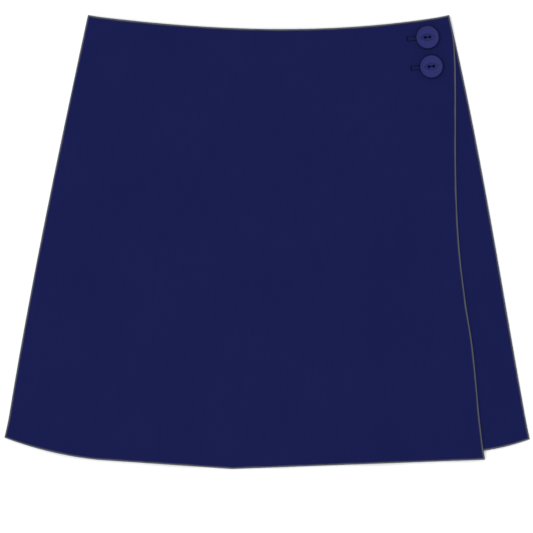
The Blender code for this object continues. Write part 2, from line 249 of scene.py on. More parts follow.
Crease = namedtuple("Crease", "from_x from_drop to_x to_drop bow height half_width")
FRONT_CREASES = (  # in the legs and the flap over them: soft ridges, and troughs of negative height
    Crease(0.122, 0.052, 0.018, 0.118, 0.010, 0.00110, 0.011),  # drag lines from the buttons
    Crease(0.116, 0.066, 0.052, 0.152, -0.008, -0.00072, 0.010),
    Crease(0.112, 0.024, 0.000, 0.040, 0.006, 0.00090, 0.009),
    Crease(-0.146, 0.046, -0.072, 0.098, 0.007, 0.00100, 0.010),  # at the wearer's right hip
    Crease(-0.163, 0.108, -0.096, 0.168, -0.006, -0.00081, 0.011),
    Crease(-0.172, 0.176, -0.118, 0.262, 0.008, 0.00120, 0.012),
    Crease(-0.056, 0.074, -0.022, 0.176, -0.009, 0.00090, 0.012),  # in the middle
    Crease(0.018, 0.150, 0.056, 0.236, 0.007, -0.00081, 0.012),
    Crease(-0.034, 0.214, -0.048, 0.318, 0.006, -0.00090, 0.013),
    Crease(0.124, 0.122, 0.112, 0.214, -0.007, 0.00110, 0.012),  # beside the free edge
    Crease(0.146, 0.236, 0.128, 0.330, 0.006, -0.00081, 0.011),
    Crease(0.046, 0.276, 0.060, 0.378, -0.005, 0.00120, 0.013),  # up from the hem
    Crease(-0.128, 0.288, -0.142, 0.372, 0.005, 0.00110, 0.012),
    Crease(0.172, 0.118, 0.190, 0.206, 0.005, 0.00080, 0.009),  # beside the wearer's left side seam
    Crease(0.212, 0.246, 0.186, 0.318, -0.004, 0.00090, 0.009),
    Crease(0.196, 0.330, 0.206, 0.366, 0.003, -0.00063, 0.008),
)
BACK_CREASES = (  # pressed hollows in the back's outer face
    Crease(-0.130, 0.070, -0.048, 0.128, 0.008, 0.00016, 0.009),
    Crease(-0.052, 0.168, -0.092, 0.262, -0.006, 0.00014, 0.009),
    Crease(-0.176, 0.226, -0.142, 0.316, 0.006, 0.00016, 0.009),
    Crease(0.118, 0.060, 0.046, 0.112, -0.007, 0.00016, 0.009),
    Crease(0.076, 0.150, 0.124, 0.242, 0.007, 0.00014, 0.009),
    Crease(0.180, 0.238, 0.150, 0.318, -0.005, 0.00016, 0.009),
)

# ---------------------------------------------------------------- outlines, as functions of arrays


def mix(a, b, t):
    return a + (b - a) * t


def smooth(t):
    t = np.clip(t, 0.0, 1.0)
    return t * t * (3 - 2 * t)


def side_x(side, drop):
    seam = SIDE_SEAMS[side]
    t = drop / SIDE_DROP
    bow = seam.bow * 4 * t * (1 - t) * (1 + seam.skew * (1 - 2 * t))
    flare = seam.flare * np.maximum(1 - (SIDE_DROP - drop) / FLARE_REACH, 0.0) ** 2
    return mix(seam.waist_x, side * HEM_WIDTH / 2, t) + side * (bow + flare)


def waist_drop(x):
    first, last = SIDE_SEAMS[RIGHT].waist_x, SIDE_SEAMS[LEFT].waist_x
    t = (x - first) / (last - first)
    rise = WAIST_RISE * np.maximum(1 - np.minimum(x - first, last - x) / WAIST_RISE_RUN, 0.0) ** 2
    return WAIST_DIP * 4 * t * (1 - t) * (1 + WAIST_SKEW * (2 * t - 1)) - rise


def corner_drop(run):
    """How low a hem is at a side seam, and less further along it."""
    return SIDE_DROP + CORNER_FALL * np.clip(1 - run / CORNER_FALL_RUN, 0.0, 1.0)


def leg_hem_drop(x):
    run = np.minimum(HEM_WIDTH / 2 - np.abs(x), LEG_HEM_RUN)
    tilt = LEG_HEM_TILT * (x / HEM_WIDTH + 0.5)
    curve = LEG_HEM_SLOPE * run * (1 - run / (2 * LEG_HEM_RUN))
    return corner_drop(run) - FLAP_OVER_LEG + tilt + curve


def flap_hem_drop(x):
    run = np.minimum(x + HEM_WIDTH / 2, FLAP_HEM_RUN)
    bend = (FLAP_HEM_SLOPE - FLAP_HEM_LEVEL_SLOPE) / (2 * FLAP_HEM_RUN)
    curve = corner_drop(run) + run * (FLAP_HEM_SLOPE - bend * run)
    curve_end = SIDE_DROP + FLAP_HEM_RUN * (FLAP_HEM_SLOPE - bend * FLAP_HEM_RUN)
    curve_end_x = FLAP_HEM_RUN - HEM_WIDTH / 2
    to_low = mix(curve_end, FLAP_LENGTH, (x - curve_end_x) / (FLAP_LOW_X - curve_end_x))
    low_run = (x - FLAP_LOW_X) / (FLAP_EDGE[-1].x - FLAP_LOW_X)
    to_corner = mix(FLAP_LENGTH, FLAP_CORNER_DROP, low_run)
    return np.where(x < curve_end_x, curve, np.where(x < FLAP_LOW_X, to_low, to_corner))


def flap_edge_x(drop):
    """A smooth curve through the rows of FLAP_EDGE."""
    drops, xs = np.array(FLAP_EDGE).T
    slopes = np.gradient(xs)
    slopes[0], slopes[-1] = xs[1] - xs[0], xs[-1] - xs[-2]
    reach = np.gradient(drops)
    reach[0], reach[-1] = drops[1] - drops[0], drops[-1] - drops[-2]
    slopes = slopes / reach
    i = np.clip(np.searchsorted(drops, drop, side="right") - 1, 0, len(xs) - 2)
    span = drops[i + 1] - drops[i]
    t = (drop - drops[i]) / span
    ends = mix(xs[i], xs[i + 1], t * t * (3 - 2 * t))
    return ends + span * t * (1 - t) * ((1 - t) * slopes[i] - t * slopes[i + 1])


def inseam_x(side, drop):
    fall = np.maximum(drop - CROTCH_DROP, 0.0) / (leg_hem_drop(0.0) - CROTCH_DROP)
    return side * (SEAM_GAP + HEM_SPREAD * fall**INSEAM_POWER) / 2


# ---------------------------------------------------------------- heights, as functions of arrays


def free_of_seams(x, drop):
    """0 at the side seams and the inseams, 1 away from them."""
    to_side = np.minimum(side_x(LEFT, drop) - x, x - side_x(RIGHT, drop))
    beside = np.abs(x) - inseam_x(LEFT, drop)
    to_inseam = np.where(drop > CROTCH_DROP, beside, np.hypot(x, drop - CROTCH_DROP))
    return smooth(to_side / LOFT_REACH) * smooth(to_inseam / LOFT_REACH)


def ease(x, drop):
    """How freely the front lies, from 0 at its seams to 1 well away from them, the waist and the hem."""
    near_waist = mix(WAIST_LOFT, 1.0, smooth(drop / WAIST_LOFT_REACH))
    near_hem = mix(HEM_LOFT, 1.0, smooth((leg_hem_drop(x) - drop) / HEM_LOFT_REACH))
    return near_waist * near_hem * free_of_seams(x, drop)


def slack_height(x, drop):
    """The unevenness of the slack, before it is eased to the seams."""
    total = np.zeros_like(x)
    for wave in SLACK_WAVES:
        angle = math.radians(wave.degrees)
        along = x * math.cos(angle) + drop * math.sin(angle)
        total += wave.height * np.sin(math.tau * along / wave.length + wave.phase)
    return total


def fold_height(folds, x, drop):
    """The height of these flutes: each is full at its foot and dies away to its head and its sides."""
    total = np.zeros_like(x)
    for fold in folds:
        run_x, run_drop = fold.head_x - fold.foot_x, fold.head_drop - fold.foot_drop
        at_x, at_drop = x - fold.foot_x, drop - fold.foot_drop
        length = math.hypot(run_x, run_drop)
        along = (at_x * run_x + at_drop * run_drop) / length**2
        aside = np.abs(at_x * run_drop - at_drop * run_x) / length
        total += fold.height * smooth(1 - along) * smooth(1 - aside / fold.half_width)
    return total


def crease_height(creases, x, drop):
    """The height of these creases: each fades to both its ends and to its sides."""
    total = np.zeros_like(x)
    for crease in creases:
        run_x, run_drop = crease.to_x - crease.from_x, crease.to_drop - crease.from_drop
        at_x, at_drop = x - crease.from_x, drop - crease.from_drop
        length = math.hypot(run_x, run_drop)
        along = (at_x * run_x + at_drop * run_drop) / length**2
        bow = crease.bow * 4 * along * (1 - along)
        aside = np.abs((at_x * run_drop - at_drop * run_x) / length - bow)
        ends = smooth(along * CREASE_TAPER) * smooth((1 - along) * CREASE_TAPER)
        total += crease.height * ends * smooth(1 - aside / crease.half_width)
    return total


def turning(distance):
    """The step in the cloth's face over a turning, this far in from its folded edge."""
    return HEM_STEP * smooth((HEM_DEPTH - distance) / HEM_STEP_WIDTH + 0.5)


def pucker(along, distance):
    """Small uneven ripples that run along a seam and fade away from it."""
    ripple = np.sin(math.tau * along / PUCKER_LENGTH) + np.sin(math.tau * along / PUCKER_LENGTH_2)
    near = smooth(distance / PUCKER_START) * smooth(1 - distance / PUCKER_REACH)
    return PUCKER_HEIGHT / 2 * ripple * near


def leg_underside(x, drop):
    """The front stands off the back by its loft. Its creases and slack stay away from the buttons."""
    uneven = slack_height(x, drop) + crease_height(FRONT_CREASES, x, drop)
    uneven *= smooth(np.hypot(x - BUTTONED_X, drop - BUTTONED_DROP) / BUTTONED_REACH)
    return WALL + SEAM_GAP + (LOFT + uneven) * ease(x, drop) + fold_height(LEG_FOLDS, x, drop)


def leg_relief(x, drop):
    """How much thicker than its wall a front or back leg is."""
    to_hem = leg_hem_drop(x) - drop
    to_side = np.minimum(side_x(LEFT, drop) - x, x - side_x(RIGHT, drop))
    return turning(to_hem) + pucker(drop, to_side) + pucker(x, to_hem)


def flap_underside(x, drop):
    """The flap lies on the front legs, and turns down past their edge where it is sewn to the back."""
    turned = np.clip((x - side_x(RIGHT, drop)) / SIDE_TURN, 0.0, 1.0)
    step = (WALL + LAYER_GAP) * turned
    fall = FLAP_FALL * smooth((drop - leg_hem_drop(x)) / FLAP_FALL_RUN)
    on_leg = leg_underside(x, drop) + turning(leg_hem_drop(x) - drop)
    return on_leg + step - fall + fold_height(FLAP_FOLDS, x, drop)


def flap_relief(x, drop):
    to_hem = flap_hem_drop(x) - drop
    to_free_edge = flap_edge_x(drop) - x
    ripples = pucker(drop, x - side_x(RIGHT, drop)) + pucker(x, to_hem) + pucker(drop, to_free_edge)
    return turning(np.minimum(to_hem, to_free_edge)) + ripples


def leg_top(x, drop):
    return leg_underside(x, drop) + WALL + leg_relief(x, drop)


def flap_top(x, drop):
    return flap_underside(x, drop) + WALL + flap_relief(x, drop)


def back_top(x, drop):
    return np.full_like(x, WALL + HEM_STEP)


def back_underside(x, drop):
    """The back's outer face: it rests on its turned-up hem and its seams' ripples."""
    to_hem = leg_hem_drop(x) - drop
    to_side = np.minimum(side_x(LEFT, drop) - x, x - side_x(RIGHT, drop))
    ripples = pucker(drop, to_side) + pucker(x, to_hem)
    hollows = crease_height(BACK_CREASES, x, drop)
    return np.maximum(HEM_STEP - turning(to_hem) + ripples + hollows, 0.0)


# ---------------------------------------------------------------- materials

# Colours are linear
# CLOTH_DARK is painted shade in the weave's valleys, CLOTH_LIGHT the cloth on its wales
CLOTH_DARK = (0.0052, 0.0075, 0.0523, 1.0)
CLOTH_LIGHT = (0.0076, 0.0106, 0.0675, 1.0)
CLOTH_STREAK = (0.0082, 0.0113, 0.0711, 1.0)
CLOTH_PATCH = (0.0052, 0.0076, 0.0536, 1.0)
# painted highlight where the rolled edges catch light, with wear
HIGHLIGHT_AND_WEAR_COLOUR = (0.090, 0.090, 0.093, 1.0)
BUTTON_COLOUR = (0.0092, 0.0116, 0.0965, 1.0)
BUTTON_LIGHT = (0.0113, 0.0138, 0.1085, 1.0)
# painted shade on the button's rim, side, eye line and holes
BUTTON_DARK = (0.0020, 0.0024, 0.0160, 1.0)
# painted shade on the threads
THREAD_SHADE = (0.0016, 0.0020, 0.0110, 1.0)
SEWING_DARK = (0.0062, 0.0090, 0.0640, 1.0)
SEWING_LIGHT = (0.0100, 0.0135, 0.0880, 1.0)
BUTTON_THREAD_DARK = (0.0012, 0.0012, 0.0080, 1.0)
BUTTON_THREAD_LIGHT = (0.0050, 0.0055, 0.0300, 1.0)
SHEEN_TINT = (0.22, 0.27, 0.62, 1.0)

TWILL_PITCH = 0.00062  # between two wales
TWILL_DEGREES = -27  # the direction across the wales, which rise steeply to the right
FLOAT_PITCH = 0.00045  # along a wale
WALE_SHARE = 0.7  # of the weave's relief; the floats have the rest
WANDER = 1.1  # radians of phase that a wale strays by
STREAK_STRETCH = 0.05  # a small stretch draws the streaks out along the warp
STREAK_SHADE = 0.35
PATCH_SHADE = 0.25

# Noise features a metre
WANDER_SCALE = 260.0
STREAK_SCALE = 900.0
PATCH_SCALE = 14.0
HIGHLIGHT_AND_WEAR_SCALE = 75.0
MOTTLE_SCALE = 700.0
GRAIN_SCALE = 5200.0
PLY_SCALE = 4200.0
NOISE_REACH = 0.2  # most of a noise's values lie within this of its middle
WIDE_REACH = 0.25

# Relief of the bumps, and how much of it shows
WEAVE_BUMP = (0.00006, 0.45)
STREAK_BUMP = (0.00010, 0.25)
GRAIN_BUMP = (0.00002, 0.15)
PLY_BUMP = (0.00004, 0.5)

# Gloss
CLOTH_ROUGHNESS = (0.92, 0.80)  # between the wales, and on them
BUTTON_ROUGHNESS = (0.42, 0.52)
THREAD_ROUGHNESS = (0.75, 0.60)
CLOTH_SPECULAR, BUTTON_SPECULAR, THREAD_SPECULAR = 0.04, 0.10, 0.05
CLOTH_SHEEN, THREAD_SHEEN = 0.04, 0.05
CLOTH_SHEEN_ROUGHNESS = 0.45

# Painted highlight and wear along the edges: a pale band for light caught on the rolled edges, broken up
# like wear on the weave's high spots
HIGHLIGHT_AND_WEAR_WIDTH = 0.0013
HIGHLIGHT_AND_WEAR_UNEVENNESS = 0.12
HIGHLIGHT_AND_WEAR_FROM, HIGHLIGHT_AND_WEAR_TO = 0.45, 1.45  # it fades between these shares of its width
HIGHLIGHT_AND_WEAR_SIDE = 0.35  # the share of the painted highlight and wear that shows on an edge's upright side
SIDE_NORMAL, FACE_NORMAL = 0.15, 0.6  # the upright part of the normal on a side and on a face
HIGH_SPOT_FROM, HIGH_SPOT_TO = -0.7, 1.1  # the weave's height plus the painted highlight and wear, where the pale starts and is full
HIGH_SPOT_LEAST = 0.35
HIDDEN_DISTANCE = 0.0007  # an edge that lies under another counts as this far in, so it gets less of the painted highlight and wear
FLAP_COVER = 0.004  # how far inside the flap's edge a front leg counts as covered


def node(tree, kind, inputs=None, output=0, **settings):
    """An output of a new shader node. An input is a number, a colour, or another node's output."""
    made = tree.nodes.new("ShaderNode" + kind)
    for key, value in settings.items():
        setattr(made, key, value)
    for key, value in (inputs or {}).items():
        if isinstance(value, bpy.types.NodeSocket):
            tree.links.new(value, made.inputs[key])
        else:
            made.inputs[key].default_value = value
    return made.outputs[output]


def calculate(tree, operation, a, b=0.0, c=0.0):
    return node(tree, "Math", {0: a, 1: b, 2: c}, operation=operation)


def rescale(tree, value, low, high, to_low, to_high):
    inputs = {"Value": value, "From Min": low, "From Max": high, "To Min": to_low, "To Max": to_high}
    return node(tree, "MapRange", inputs, interpolation_type="SMOOTHSTEP")


def blend_colours(tree, factor, a, b):
    colour_a, colour_b, result = 6, 7, 2  # a Mix node's sockets for colours
    inputs = {0: factor, colour_a: a, colour_b: b}
    return node(tree, "Mix", inputs, output=result, data_type="RGBA")


def stretched_noise(tree, place, scale, detail, stretch=(1.0, 1.0, 1.0)):
    """Noise with this many features a metre, drawn out along each axis that has a small stretch."""
    stretched = node(tree, "Mapping", {"Vector": place, "Scale": stretch})
    return node(tree, "TexNoise", {"Vector": stretched, "Scale": scale, "Detail": detail})


def spread(tree, noise, to_low, to_high, reach=NOISE_REACH):
    """A noise brought to a range, from the values within this reach of its middle."""
    return rescale(tree, noise, 0.5 - reach, 0.5 + reach, to_low, to_high)


def ripple(tree, place, length, degrees, unevenness=0.0):
    """A sine from -1 to 1 across the surface: its wavelength and its direction in the XY plane."""
    turn = math.tau / length
    direction = (turn * math.cos(math.radians(degrees)), turn * math.sin(math.radians(degrees)), 0.0)
    phase = node(tree, "VectorMath", {0: place, 1: direction}, output=1, operation="DOT_PRODUCT")
    return calculate(tree, "SINE", calculate(tree, "ADD", phase, unevenness))


def start_material(name):
    material = bpy.data.materials.new(name)
    material.use_nodes = True
    tree = material.node_tree
    place = tree.nodes.new("ShaderNodeTexCoord").outputs["Object"]
    return material, tree, tree.nodes["Principled BSDF"], place


def bump(tree, height, relief, under=None):
    distance, strength = relief
    inputs = {"Height": height, "Distance": distance, "Strength": strength}
    if under is not None:
        inputs["Normal"] = under
    return node(tree, "Bump", inputs)


def twill_material():
    """Navy twill: steep wales of warp floats with painted shade between them, faint streaks along the
    warp, and pale edges, a painted highlight with wear.
    """
    material, tree, shader, place = start_material("navy_twill")
    uneven = spread(tree, stretched_noise(tree, place, WANDER_SCALE, 2.0), -WANDER, WANDER)
    wales = ripple(tree, place, TWILL_PITCH, TWILL_DEGREES, uneven)
    floats = ripple(tree, place, FLOAT_PITCH, TWILL_DEGREES + 90, uneven)
    floats = calculate(tree, "MULTIPLY", floats, 1 - WALE_SHARE)
    weave = calculate(tree, "MULTIPLY_ADD", wales, WALE_SHARE, floats)
    streaks = stretched_noise(tree, place, STREAK_SCALE, 3.0, (1.0, STREAK_STRETCH, 1.0))
    patches = stretched_noise(tree, place, PATCH_SCALE, 2.0)

    # the weave's valleys are painted darker, as shade, than its wales
    cloth = blend_colours(tree, rescale(tree, weave, -1.0, 1.0, 0.0, 1.0), CLOTH_DARK, CLOTH_LIGHT)
    streaky = spread(tree, streaks, 0.0, STREAK_SHADE, WIDE_REACH)
    cloth = blend_colours(tree, streaky, cloth, CLOTH_STREAK)
    cloth = blend_colours(tree, spread(tree, patches, 0.0, PATCH_SHADE), cloth, CLOTH_PATCH)

    # A pale band along the edges: painted highlight where the rolled edges catch light, fuller on upward
    # faces, and broken up like wear on the weave's high spots.
    distance = node(tree, "Attribute", attribute_name="edge_distance", output=2)
    least, most = HIGHLIGHT_AND_WEAR_WIDTH * (1 - HIGHLIGHT_AND_WEAR_UNEVENNESS), HIGHLIGHT_AND_WEAR_WIDTH * (1 + HIGHLIGHT_AND_WEAR_UNEVENNESS)
    width = spread(tree, stretched_noise(tree, place, HIGHLIGHT_AND_WEAR_SCALE, 2.0), least, most, WIDE_REACH)
    fade = rescale(tree, calculate(tree, "DIVIDE", distance, width), HIGHLIGHT_AND_WEAR_FROM, HIGHLIGHT_AND_WEAR_TO, 1.0, 0.0)
    normal = tree.nodes.new("ShaderNodeNewGeometry").outputs["Normal"]
    upright = calculate(tree, "ABSOLUTE", node(tree, "SeparateXYZ", {0: normal}, output=2))
    on_face = rescale(tree, upright, SIDE_NORMAL, FACE_NORMAL, HIGHLIGHT_AND_WEAR_SIDE, 1.0)
    high_spots = calculate(tree, "ADD", weave, fade)
    high_spot_share = rescale(tree, high_spots, HIGH_SPOT_FROM, HIGH_SPOT_TO, HIGH_SPOT_LEAST, 1.0)
    highlight_and_wear = calculate(tree, "MULTIPLY", calculate(tree, "MULTIPLY", fade, on_face), high_spot_share)
    tree.links.new(blend_colours(tree, highlight_and_wear, cloth, HIGHLIGHT_AND_WEAR_COLOUR), shader.inputs["Base Color"])

    tree.links.new(rescale(tree, weave, -1.0, 1.0, *CLOTH_ROUGHNESS), shader.inputs["Roughness"])
    streaked = bump(tree, streaks, STREAK_BUMP)
    tree.links.new(bump(tree, weave, WEAVE_BUMP, streaked), shader.inputs["Normal"])
    shader.inputs["Specular IOR Level"].default_value = CLOTH_SPECULAR
    shader.inputs["Sheen Weight"].default_value = CLOTH_SHEEN
    shader.inputs["Sheen Roughness"].default_value = CLOTH_SHEEN_ROUGHNESS
    shader.inputs["Sheen Tint"].default_value = SHEEN_TINT
    return material


def plastic_material():
    """Moulded navy plastic, mottled and finely grained, with shade painted where the attribute says so.
    """
    material, tree, shader, place = start_material("navy_button")
    mottle = stretched_noise(tree, place, MOTTLE_SCALE, 3.0)
    face = blend_colours(tree, spread(tree, mottle, 0.0, 1.0), BUTTON_COLOUR, BUTTON_LIGHT)
    shade = node(tree, "Attribute", attribute_name="shade", output=2)
    tree.links.new(blend_colours(tree, shade, face, BUTTON_DARK), shader.inputs["Base Color"])
    tree.links.new(spread(tree, mottle, *BUTTON_ROUGHNESS), shader.inputs["Roughness"])
    grain = stretched_noise(tree, place, GRAIN_SCALE, 2.0)
    tree.links.new(bump(tree, grain, GRAIN_BUMP), shader.inputs["Normal"])
    shader.inputs["Specular IOR Level"].default_value = BUTTON_SPECULAR
    return material


def thread_material(name, light, dark):
    """Spun thread: mottled by its ply, with shade painted where the attribute says so."""
    material, tree, shader, place = start_material(name)
    ply = stretched_noise(tree, place, PLY_SCALE, 2.0)
    colour = blend_colours(tree, spread(tree, ply, 0.0, 1.0), dark, light)
    shade = node(tree, "Attribute", attribute_name="shade", output=2)
    tree.links.new(blend_colours(tree, shade, colour, THREAD_SHADE), shader.inputs["Base Color"])
    tree.links.new(bump(tree, ply, PLY_BUMP), shader.inputs["Normal"])
    tree.links.new(spread(tree, ply, *THREAD_ROUGHNESS), shader.inputs["Roughness"])
    shader.inputs["Specular IOR Level"].default_value = THREAD_SPECULAR
    shader.inputs["Sheen Weight"].default_value = THREAD_SHEEN
    shader.inputs["Sheen Tint"].default_value = SHEEN_TINT
    return material


# ---------------------------------------------------------------- meshes


def add_mesh(name, points, faces, material=None):
    """A smooth object from points and groups of faces."""
    mesh = bpy.data.meshes.new(name)
    all_faces = [face for group in faces for face in np.asarray(group).tolist()]
    mesh.from_pydata(np.asarray(points).tolist(), [], all_faces)
    mesh.shade_smooth()
    if material is not None:
        mesh.materials.append(material)
    obj = bpy.data.objects.new(name, mesh)
    bpy.context.scene.collection.objects.link(obj)
    return obj


def points_of(obj):
    points = np.empty(3 * len(obj.data.vertices), np.float32)
    obj.data.vertices.foreach_get("co", points)
    return points.reshape(-1, 3).astype(float)


def set_attribute(obj, name, values):
    attribute = obj.data.attributes.new(name, "FLOAT", "POINT")
    attribute.data.foreach_set("value", np.asarray(values, np.float32))


def quads(index, closed=False):
    """The faces of a grid of point numbers, whose last column may join its first."""
    if closed:
        index = np.concatenate([index, index[:, :1]], axis=1)
    corners = (index[:-1, :-1], index[1:, :-1], index[1:, 1:], index[:-1, 1:])
    return np.stack(corners, axis=-1).reshape(-1, 4)


def cut(obj, cutters):
    """Takes closed meshes out of an object, removes them, and tidies the faces that this leaves."""
    for cutter in cutters:
        boolean = obj.modifiers.new(cutter.name, "BOOLEAN")
        boolean.operation = "DIFFERENCE"
        boolean.solver = "EXACT"
        boolean.object = cutter
    graph = bpy.context.evaluated_depsgraph_get()
    mesh = bpy.data.meshes.new_from_object(obj.evaluated_get(graph), depsgraph=graph)
    obj.modifiers.clear()
    tidy = bmesh.new()
    tidy.from_mesh(mesh)
    bmesh.ops.remove_doubles(tidy, verts=tidy.verts, dist=SMALLEST_EDGE)
    bmesh.ops.dissolve_degenerate(tidy, dist=SMALLEST_EDGE, edges=tidy.edges)
    many_sided = [face for face in tidy.faces if len(face.verts) > LARGEST_FACE]
    bmesh.ops.triangulate(tidy, faces=many_sided)
    tidy.to_mesh(mesh)
    tidy.free()
    obj.data = mesh
    mesh.shade_smooth()
    mesh.set_sharp_from_angle(angle=SHARP_ANGLE)
    for cutter in cutters:
        bpy.data.meshes.remove(cutter.data)


def revolved(profile, segments):
    """Points and faces of a turned solid. Its profile runs from the axis at the top to it below."""
    angles = math.tau * np.arange(segments) / segments
    radii, heights = np.array(profile[1:-1]).T
    rings = np.empty((len(radii), segments, 3))
    rings[..., 0] = radii[:, None] * np.cos(angles)
    rings[..., 1] = radii[:, None] * np.sin(angles)
    rings[..., 2] = heights[:, None]
    points = [(0, 0, profile[0][1]), *rings.reshape(-1, 3), (0, 0, profile[-1][1])]
    index = 1 + np.arange(len(radii) * segments).reshape(len(radii), segments)
    top, bottom = index[0], index[-1]
    first, last = np.zeros_like(top), np.full_like(top, len(points) - 1)
    cap = np.stack([first, top, np.roll(top, -1)], axis=-1)
    base = np.stack([last, np.roll(bottom, -1), bottom], axis=-1)
    return np.array(points), [quads(index, closed=True), cap, base]


def tube(path, radius):
    """Points and faces of a thread along a path, closed at both ends."""
    path = np.asarray(path)
    along = np.gradient(path, axis=0)
    along /= np.linalg.norm(along, axis=1, keepdims=True)
    angles = math.tau * np.arange(THREAD_SIDES) / THREAD_SIDES
    across = np.cross(along[0], ANY_DIRECTION)
    rings = []
    for centre, tangent in zip(path, along):
        across = across - tangent * (across @ tangent)
        across /= np.linalg.norm(across)
        other = np.cross(tangent, across)
        ring = np.outer(np.cos(angles), across) + np.outer(np.sin(angles), other)
        rings.append(centre + radius * ring)
    index = np.arange(len(path) * THREAD_SIDES).reshape(len(path), THREAD_SIDES)
    return np.concatenate(rings), [quads(index, closed=True)[:, ::-1], index[:1, ::-1], index[-1:]]


def threads(name, paths, radius, material):
    """One object of many threads."""
    all_points, all_faces, count = [], [], 0
    for path in paths:
        points, faces = tube(path, radius)
        all_points.append(points)
        all_faces += [group + count for group in faces]
        count += len(points)
    return add_mesh(name, np.concatenate(all_points), all_faces, material)


# ---------------------------------------------------------------- cloth panels


def at_drop(x, drop):
    return np.stack(np.broadcast_arrays(x, TOP_Y - drop), axis=-1)


def level_curve(drop_at, from_x, to_x):
    """A waist or a hem."""
    return lambda t: at_drop(mix(from_x, to_x, t), drop_at(mix(from_x, to_x, t)))


def edge_curve(x_at, from_drop, to_drop):
    """A side."""
    return lambda t: at_drop(x_at(mix(from_drop, to_drop, t)), mix(from_drop, to_drop, t))


def line_places(sizes, count):
    """Where grid lines cross strips of these sizes, from 0 to 1: close together at both ends."""
    turn = RIM * (1 - np.cos(math.radians(90) * np.arange(RIM_STEPS) / RIM_STEPS))
    turn = np.append(turn, RIM * np.arange(1, EDGE_LINES + 1)) / sizes[:, None]
    even = np.linspace(turn[:, -1], 1 - turn[:, -1], count, axis=-1)[:, 1:-1]
    return np.concatenate([turn, even, 1 - turn[:, ::-1]], axis=-1)


def fitted_grid(edges, spacing):
    """A grid of places inside four edges, and the places' distances from these edges."""
    top, bottom, first, last = edges
    coarse = np.linspace(0.0, 1.0, EDGE_SAMPLES)
    widths = np.linalg.norm(last(coarse) - first(coarse), axis=-1)
    heights = np.linalg.norm(bottom(coarse) - top(coarse), axis=-1)
    columns, rows = round(widths.max() / spacing), round(heights.max() / spacing)
    widths = np.interp(line_places(heights.max(keepdims=True), rows)[0], coarse, widths)
    heights = np.interp(line_places(widths.max(keepdims=True), columns)[0], coarse, heights)
    u, v = line_places(widths, columns), line_places(heights, rows).T

    along, down = u[..., None], v[..., None]
    corners = mix(mix(top(0.0), top(1.0), along), mix(bottom(0.0), bottom(1.0), along), down)
    place = mix(first(v), last(v), along) + mix(top(u), bottom(u), down) - corners
    across, deep = widths[:, None], heights[None, :]
    return place, (v * deep, (1 - v) * deep, u * across, (1 - u) * across)


def rolled(distance, radius):
    """The share of its thickness that a panel has at this distance from a rolled edge."""
    return np.sqrt(1 - np.clip(1 - distance / radius, 0.0, 1.0) ** 2)


def panel(name, edges, under, over, spacing, outward=1, last_sewn=True):
    """A closed shell inside four edges, between two heights.

    A free edge is rolled on both faces. At a sewn side only the outer face turns over, through the
    whole wall, so that a front and a back make one round edge with their seam in its middle.
    """
    place, (to_top, to_bottom, to_first, to_last) = fitted_grid(edges, spacing)
    x, drop = place[..., 0], TOP_Y - place[..., 1]
    low, high = under(x, drop), over(x, drop)
    sewn, free = rolled(to_first, WALL), rolled(to_top, RIM) * rolled(to_bottom, RIM)
    if last_sewn:
        sewn = sewn * rolled(to_last, WALL)
    else:
        free = free * rolled(to_last, RIM)
    if outward > 0:
        high = low + (high - low) * sewn
    else:
        low = high - (high - low) * sewn
    middle, half = (low + high) / 2, (high - low) / 2 * free
    upper = np.dstack([place, middle + half])
    lower = np.dstack([place, middle - half])[1:-1, 1:-1]  # both faces share the points along the edges

    index = np.arange(x.size).reshape(x.shape)
    under_index = index.copy()
    under_index[1:-1, 1:-1] = x.size + np.arange(lower[..., 0].size).reshape(lower.shape[:2])
    points = np.concatenate([upper.reshape(-1, 3), lower.reshape(-1, 3)])
    return add_mesh(name, points, [quads(index), quads(under_index)[:, ::-1]], twill)


def leg_edges(side, inset=0.0):
    """A leg's waist, hem, and two sides: from the side seam to the centre seam and the inseam."""
    waist_x, hem_x = side_x(side, 0.0) - side * inset, side_x(side, SIDE_DROP) - side * inset
    inner_x, hem_inner_x = inseam_x(side, 0.0), inseam_x(side, leg_hem_drop(0.0))
    outer = edge_curve(
        lambda drop: side_x(side, drop) - side * inset, waist_drop(waist_x), leg_hem_drop(hem_x)
    )
    inner = edge_curve(lambda drop: inseam_x(side, drop), waist_drop(0.0), leg_hem_drop(hem_inner_x))
    if side == RIGHT:
        waist = level_curve(waist_drop, waist_x, inner_x)
        return waist, level_curve(leg_hem_drop, hem_x, hem_inner_x), outer, inner
    waist = level_curve(waist_drop, inner_x, waist_x)
    return waist, level_curve(leg_hem_drop, hem_inner_x, hem_x), inner, outer


def flap_edges():
    """The flap's waist, hem, side seam and free edge."""
    waist_x, hem_x = side_x(RIGHT, 0.0), side_x(RIGHT, SIDE_DROP)
    free_x, corner_x = FLAP_EDGE[0].x, FLAP_EDGE[-1].x
    waist = level_curve(waist_drop, waist_x, free_x)
    seam = edge_curve(lambda drop: side_x(RIGHT, drop), waist_drop(waist_x), flap_hem_drop(hem_x))
    free = edge_curve(flap_edge_x, waist_drop(free_x), FLAP_CORNER_DROP)
    return waist, level_curve(flap_hem_drop, hem_x, corner_x), seam, free


def leg_outline(side):
    """The distances of points from a leg's waist, hem and side seam."""
    return lambda x, drop: [
        drop - waist_drop(x),
        leg_hem_drop(x) - drop,
        side * (side_x(side, drop) - x),
    ]


def flap_outline(x, drop):
    return [
        drop - waist_drop(x),
        flap_hem_drop(x) - drop,
        x - side_x(RIGHT, drop),
        flap_edge_x(drop) - x,
    ]


def everywhere(x, drop):
    return np.ones_like(x)


def under_flap(x, drop):
    return smooth((flap_edge_x(drop) - x) / FLAP_COVER)


